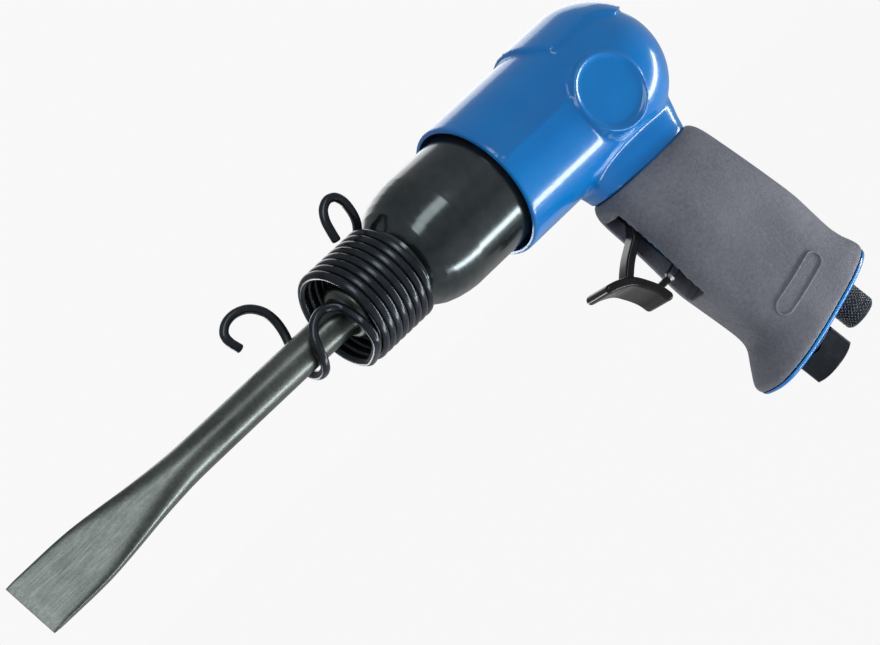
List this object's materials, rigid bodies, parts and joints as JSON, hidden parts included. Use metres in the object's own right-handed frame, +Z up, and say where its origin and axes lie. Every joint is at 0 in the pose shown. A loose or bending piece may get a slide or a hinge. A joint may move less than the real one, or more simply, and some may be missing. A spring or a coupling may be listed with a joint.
{
  "type": "pneumatic air hammer",
  "caption": "Pistol-grip pneumatic air hammer with a raked rubber grip, black barrel, coil retainer and a flat chisel.",
  "frame": {"origin": "middle of the hand's hold on the grip", "axes": "+X along the barrel towards the chisel tip, +Y to the user's left, +Z up from the grip to the barrel"},
  "size_m": [0.3065, 0.0528, 0.1555],
  "materials": {
    "blue_casting": "glossy blue painted aluminium casting",
    "grip_rubber": "dark warm grey, fine leather-like grain",
    "black_oxide": "polished black oxide",
    "spring_black": "oil-blackened spring wire",
    "chisel_steel": "satin dark steel",
    "bright_steel": "ground steel",
    "trigger_black": "gloss black",
    "brass": "turned",
    "nitrile": "matt black"
  },
  "bodies": {
    "body": {"housing": "blue_casting", "grip_sleeve": "grip_rubber", "barrel": "black_oxide", "retainer_spring": "spring_black", "valve_seat_block": "bright_steel", "valve_cap": "bright_steel", "valve_cap_o_ring": "nitrile", "valve_dowel_left": "bright_steel", "valve_dowel_right": "bright_steel", "trigger_pin": "bright_steel", "throttle_bush": "brass", "throttle_bush_o_ring": "nitrile", "throttle_spring": "bright_steel", "inlet_bushing": "black_oxide", "inlet_washer": "black_oxide", "inlet_strainer": "brass", "regulator_pin": "bright_steel"},
    "trigger": {"trigger": "trigger_black"},
    "throttle_valve": {"throttle_stem": "bright_steel", "throttle_seal": "nitrile"},
    "regulator": {"regulator_knob": "black_oxide", "regulator_spool": "bright_steel", "regulator_o_ring": "nitrile"},
    "piston": {"piston": "bright_steel"},
    "valve_disc": {"valve_disc": "bright_steel"},
    "chisel": {"chisel": "chisel_steel"}
  },
  "joints": [
    {"name": "trigger_pull", "type": "hinge", "parent": "body", "child": "trigger", "pos_m": [0.02303, 0, 0.03228], "axis": [0, 1, 0], "range_deg": [0, 7.5], "stiffness_Nm_per_rad": 0.8, "springref_deg": -2.86},
    {"name": "throttle_slide", "type": "slide", "parent": "body", "child": "throttle_valve", "axis": [-0.9763, 0, 0.2164], "range_m": [0, 0.00294], "deforming": ["throttle_spring"]},
    {"name": "regulator_turn", "type": "hinge", "parent": "body", "child": "regulator", "pos_m": [-0.01775, 0, -0.04216], "axis": [0.2164, 0, 0.9763], "range_deg": [0, 270]},
    {"name": "piston_slide", "type": "slide", "parent": "body", "child": "piston", "axis": [1, 0, 0], "range_m": [0, 0.0406]},
    {"name": "valve_disc_lift", "type": "slide", "parent": "body", "child": "valve_disc", "axis": [1, 0, 0], "range_m": [0, 0.001]},
    {"name": "chisel_slide", "type": "slide", "parent": "body", "child": "chisel", "axis": [1, 0, 0], "range_m": [0, 0.003]}
  ],
  "couplings": [
    {"joint": "throttle_slide", "follows": "trigger_pull", "m_per_rad": 0.0224}
  ]
}
